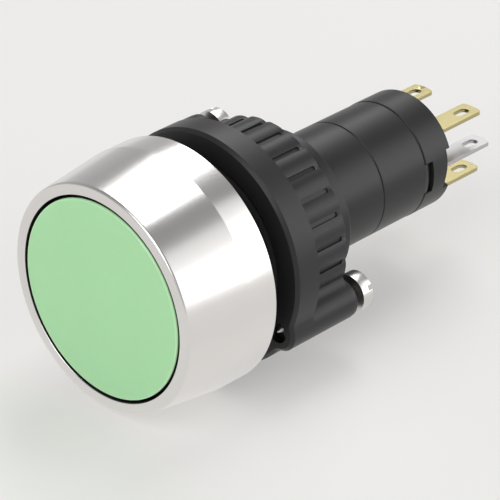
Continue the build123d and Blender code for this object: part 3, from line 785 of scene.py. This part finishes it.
print("a tooth fills", FOOT_SHARE, "of its pitch at the foot,", CREST_SHARE, "at the crest")

# %% [markdown]
# ## The front housing and its thread
# The housing carries the bezel in front of the panel, and its threaded neck goes through
# the hole. The real neck has a fine metric thread for the clamping ring, which the CAD
# model leaves plain. Here the neck is turned down to the bottom of the thread, and a
# wound tooth brings it back to its 22 mm. Inside are a shelf, a guide for the button's
# stem, and a groove in the guide for the stem's seal.

# %% Turn the housing and wind its thread
COLLAR_R = 12.77
COLLAR_REAR = -0.7  # the panel gasket fills the step from here to the panel
NECK_R = 11.0
NECK_BORE = 9.7
NECK_REAR = 12.9
NECK_CHAMFER_START = 12.4
NECK_CHAMFER = 0.2
THREAD_PITCH = 1.0
THREAD_DEPTH = 0.56
ROOT_R = NECK_R - THREAD_DEPTH + 0.04  # the tooth's foot sinks in by this last bit
RUN_OUT_START, RUN_OUT_END = 0.05, 0.35
SHELF_Y = -2.2
GUIDE_R = 8.0
GUIDE_FRONT, GUIDE_REAR = 4.0, 8.0
SEAL_R = 8.99
SEAL_FRONT, SEAL_REAR = 5.5, 6.5

housing = turn_piece("threaded_housing", [
    (BEZEL_MOUTH[0], LIP_REAR),
    (COLLAR_R, LIP_REAR),
    (COLLAR_R, COLLAR_REAR),
    (NECK_R, COLLAR_REAR),
    (NECK_R, RUN_OUT_START),
    (ROOT_R, RUN_OUT_END),
    (ROOT_R, NECK_CHAMFER_START),
    (ROOT_R - NECK_CHAMFER, NECK_REAR),
    (NECK_BORE, NECK_REAR),
    (NECK_BORE, GUIDE_REAR),
    (GUIDE_R, GUIDE_REAR),
    (GUIDE_R, SEAL_REAR),
    (SEAL_R, SEAL_REAR),
    (SEAL_R, SEAL_FRONT),
    (GUIDE_R, SEAL_FRONT),
    (GUIDE_R, GUIDE_FRONT),
    (NECK_BORE, GUIDE_FRONT),
    (NECK_BORE, SHELF_Y),
    (BEZEL_MOUTH[0], SHELF_Y),
])
dress(housing, pbt_black, "housing_plastic", "housing", "front_housing")
thread = wind_thread(
    "neck_thread", NECK_R, THREAD_DEPTH, THREAD_PITCH, start_y=0.75, turns=11, steps=96,
)
dress(thread, pbt_black, "housing_plastic", "housing")

# %% [markdown]
# ## Copying and softening
# A moulded piece that the CAD model already gives is copied and its sharp edges are
# rounded, because no real edge is perfectly sharp and the rounding is what catches the
# light. The CAD mesh is loose triangles, so the copy's points are joined first, and
# triangles that lie in one flat face become that face.

# %% Copy a CAD node and round its edges
JOIN_DISTANCE = 0.0005 * MM
FLAT_ANGLE = radians(0.4)
EDGE_ANGLE = radians(28)  # edges sharper than this are rounded
EDGE_STEPS = 2


def joined_copy(node, name):
    """Copies a node's mesh and joins its loose triangles."""
    piece = bpy.data.objects.new(name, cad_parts[node].data.copy())
    bpy.context.scene.collection.objects.link(piece)
    select_only(piece)
    bpy.ops.mesh.customdata_custom_splitnormals_clear()
    bpy.ops.object.mode_set(mode="EDIT")
    bpy.ops.mesh.select_all(action="SELECT")
    bpy.ops.mesh.remove_doubles(threshold=JOIN_DISTANCE)
    bpy.ops.mesh.dissolve_limited(angle_limit=FLAT_ANGLE)
    bpy.ops.object.mode_set(mode="OBJECT")
    return piece


def soften(piece, edge_mm):
    """Rounds a piece's sharp edges."""
    apply_modifier(
        piece, "BEVEL", width=edge_mm * MM, segments=EDGE_STEPS, limit_method="ANGLE",
        angle_limit=EDGE_ANGLE, use_clamp_overlap=True,
    )
    return piece


print("edges are rounded above", round(EDGE_ANGLE, 2), "radians, in", EDGE_STEPS, "steps")

# %% [markdown]
# ## Clamping ring, coupling and barrel
# The ring, the coupling behind it and the three parts of the barrel are moulded shapes
# that the CAD model already has to the last lobe and notch. Each is copied and its edges
# are rounded by about a tenth of a millimetre, as a mould leaves them. The rounded edges
# draw the fine light lines along the grip's grooves and the dark seams of the barrel. The
# grooves' floors are lifted a little first, because a shallow groove catches more light.

# %% Lift the floors of the grip's grooves
GROOVE_FLOOR = 11.5
GROOVE_FLOOR_LIFTED = 11.68
GROOVE_START, GROOVE_END = 7, 13.5
FLOOR_MATCH = 0.02  # millimetres within which a point counts as lying on a floor


def lift_floors(piece, floor_r, lifted_r, start_y, end_y):
    """Moves the floors of grooves outwards, from one radius to another, all in mm."""
    lifted = 0
    for point in piece.data.vertices:
        radius = radius_of(point.co)
        if abs(radius - floor_r) < FLOOR_MATCH and start_y < point.co.y / MM < end_y:
            point.co.x *= lifted_r / radius
            point.co.z *= lifted_r / radius
            lifted += 1
    print(piece.name, "has", lifted, "points lifted")


print("groove floors rise by", round(GROOVE_FLOOR_LIFTED - GROOVE_FLOOR, 2), "mm")

# %% [markdown]
# ## Rounding the moulded edges
# The five pieces are finished in the same way, so one table gives each its name, its
# rounding and its plastic. The ring is gripped by hand and has the largest rounding. The
# edges could be rounded one by one, but a Bevel modifier takes every sharp edge at once.

# %% Soften the moulded pieces
# CAD node, new name, rounding in mm, plastic and material slot.
MOULDED = (
    ("clamping_ring", "grip_ring", 0.13, nylon_black, "ring_plastic"),
    ("switch_coupling", "rear_coupling", 0.1, polycarbonate_black, "housing_plastic"),
    ("switch_front_body", "barrel_front", 0.06, polycarbonate_black, "barrel_plastic"),
    ("switch_body", "barrel_middle", 0.06, polycarbonate_black, "barrel_plastic"),
    ("terminal_base", "barrel_end", 0.08, polycarbonate_black, "barrel_plastic"),
)
for node, name, edge, plastic, slot_name in MOULDED:
    piece = joined_copy(node, name)
    if node == "clamping_ring":
        lift_floors(piece, GROOVE_FLOOR, GROOVE_FLOOR_LIFTED, GROOVE_START, GROOVE_END)
    dress(soften(piece, edge), plastic, slot_name, "housing", node)

# %% [markdown]
# ## Clamp screws
# Two slotted cheese-head screws press the ring against the panel. A screw is modelled once
# on the axis: its point, core and head are turned, a box cuts the slot with a Boolean
# modifier, and a fine thread is wound round the core. Then a copy goes to each boss, with
# its own mesh and its slot turned as it happened to stop.

# %% Turn one screw and cut its slot
SCREW_POINT = 3.8  # a turned point stands out of the tip, to bite into the panel
SCREW_POINT_R = 0.5
SCREW_POINT_FLAT = 0.02  # radius of the tiny flat at its end
SCREW_TIP = 4.6
TIP_CHAMFER = 0.1
HEAD_FRONT = 15.58
HEAD_REAR = 17.15
HEAD_R = 2.25
SHANK_R = 1.25
TIP_R = SHANK_R - 0.02  # just under the crest of the thread
CORE_R = 1.03
CORE_START = SCREW_TIP + 0.4
SLOT_WIDTH = 0.6
SLOT_DEPTH = 0.6
HEAD_ROUND = 0.09

screw = turn_piece("screw_blank", [
    (SCREW_POINT_FLAT, SCREW_POINT),
    (SCREW_POINT_R, SCREW_TIP),
    (SHANK_R - TIP_CHAMFER, SCREW_TIP),
    (TIP_R, SCREW_TIP + TIP_CHAMFER),
    (CORE_R, CORE_START),
    (CORE_R, HEAD_FRONT),
    (HEAD_R, HEAD_FRONT),
    (HEAD_R, HEAD_REAR),
    (0, HEAD_REAR),
], hollow=False)
bpy.ops.object.select_all(action="DESELECT")
bpy.ops.mesh.primitive_cube_add(size=1.0, location=(0, HEAD_REAR * MM, 0))
slot_cutter = bpy.context.object
slot_cutter.scale = (4 * HEAD_R * MM, 2 * SLOT_DEPTH * MM, SLOT_WIDTH * MM)
apply_modifier(screw, "BOOLEAN", operation="DIFFERENCE", object=slot_cutter, solver="EXACT")
bpy.data.objects.remove(slot_cutter)
apply_modifier(
    screw, "BEVEL", width=HEAD_ROUND * MM, segments=3, limit_method="ANGLE", angle_limit=SHARPEST,
)
print("screw", len(screw.data.polygons), "faces")

# %% [markdown]
# ## The screws' threads and places
# The thread is a tooth wound round the core, as on the neck. Both screws are copies of
# one, and each is turned by an angle of its own, because no two screws stop with their
# slots alike. Linked copies would save memory, but here each piece has its place in its
# own mesh.

# %% Wind the thread and place a copy on each boss
SCREW_THREAD_DEPTH = 0.26
SCREW_PITCH = 0.45
SCREW_THREAD_START = SCREW_TIP + 0.3
BOSS_AXIS_R = 12.69
BOSS_TURN = -30.42
UNDER_HEAD = 0.05  # the painted shade on the shank ends this far under the head
SCREWS = (("lower", 0, 28.5), ("upper", 180, 112.0))  # boss and slot turned by degrees

screw_thread = wind_thread(
    "screw_thread", SHANK_R, SCREW_THREAD_DEPTH, SCREW_PITCH, SCREW_THREAD_START,
    turns=22, steps=32,
)


def copy_to_boss(source, name, boss_turn, slot_turn):
    """Copies a piece with its own mesh, turns it about its axis and moves it to a boss."""
    piece = bpy.data.objects.new(name, source.data.copy())
    bpy.context.scene.collection.objects.link(piece)
    angle = radians(boss_turn)
    boss = Vector((BOSS_AXIS_R * cos(angle), 0, BOSS_AXIS_R * sin(angle))) * MM
    piece.data.transform(Matrix.Translation(boss) @ Matrix.Rotation(-radians(slot_turn), 4, AXIS))
    return piece


for place_name, half_turn, slot_turn in SCREWS:
    boss_turn = BOSS_TURN + half_turn
    node = "clamp_screw_" + place_name
    shank = copy_to_boss(screw, "cheese_head_screw_" + place_name, boss_turn, slot_turn)
    dress(shank, nickel_bright, "screw_steel", "housing", node)
    shank.data.materials.append(thread_painted_shade)
    # Painted shade: from the tip to just under the head, the shank takes the darkened steel.
    for face in shank.data.polygons:
        if (SCREW_TIP - RING_MATCH) * MM < face.center.y < (HEAD_FRONT - UNDER_HEAD) * MM:
            face.material_index = 1
    winding = copy_to_boss(screw_thread, "screw_thread_" + place_name, boss_turn, slot_turn)
    dress(winding, thread_painted_shade, "screw_steel", "housing")
bpy.data.objects.remove(screw)
bpy.data.objects.remove(screw_thread)

# %% [markdown]
# ## Push-on tabs
# Six tabs stamped from half-millimetre strip stand out of the base: four gold-plated ones
# for the contacts and two tin-plated ones for the lamp. Stamping rounds the edges on one
# side and leaves a small burr on the other. Both are far below a pixel, so all edges just
# get the same small radius, which is enough to outline them in light.

# %% Soften the tabs
TAB_EDGE = 0.05
TABS = [
    (kind + "_terminal_" + side, metal, slot_name)
    for kind, metal, slot_name in (
        ("nc", gold_plated, "gold_plate"),
        ("no", gold_plated, "gold_plate"),
        ("lamp", tin_plated, "tin_plate"),
    )
    for side in ("left", "right")
]
for node, metal, slot_name in TABS:
    tab = soften(joined_copy(node, node + "_tab"), TAB_EDGE)
    dress(tab, metal, slot_name, "housing", node)

# %% [markdown]
# ## The return spring
# The spring is the only piece that changes its shape as the button goes in: its rear end
# stays on the housing, and its front end goes with the lens holder. Here it is a copy of
# the CAD spring that rides on the housing, with a mesh of its own.

spring = joined_copy("return_spring", "coil_spring")
dress(spring, wire_drawn, "spring_steel", "housing", "return_spring")
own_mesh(spring)

# %% [markdown]
# ## Pieces inside
# The lamp, the plunger and the contacts are hidden in the closed button. Their CAD shapes
# are right as they are, so they only get their finish, which shows when the part is cut
# open or taken apart.

# %% Finish the pieces inside
INSIDE = {
    "panel_gasket": nitrile,
    "stem_seal": nitrile,
    "diffuser": acrylic_opal,
    "lens_holder": abs_white,
    "plunger": nylon_natural,
    "contact_carrier": nylon_natural,
    "lamp_socket": nylon_natural,
    "lamp": epoxy_green,
    "nc_contact_spring": wire_drawn,
    "no_contact_spring": wire_drawn,
    "nc_bridge": gold_plated,
    "no_bridge": gold_plated,
}
for node, material in INSIDE.items():
    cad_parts[node].material_slots[0].material = material
print("inside pieces finished:", len(INSIDE))
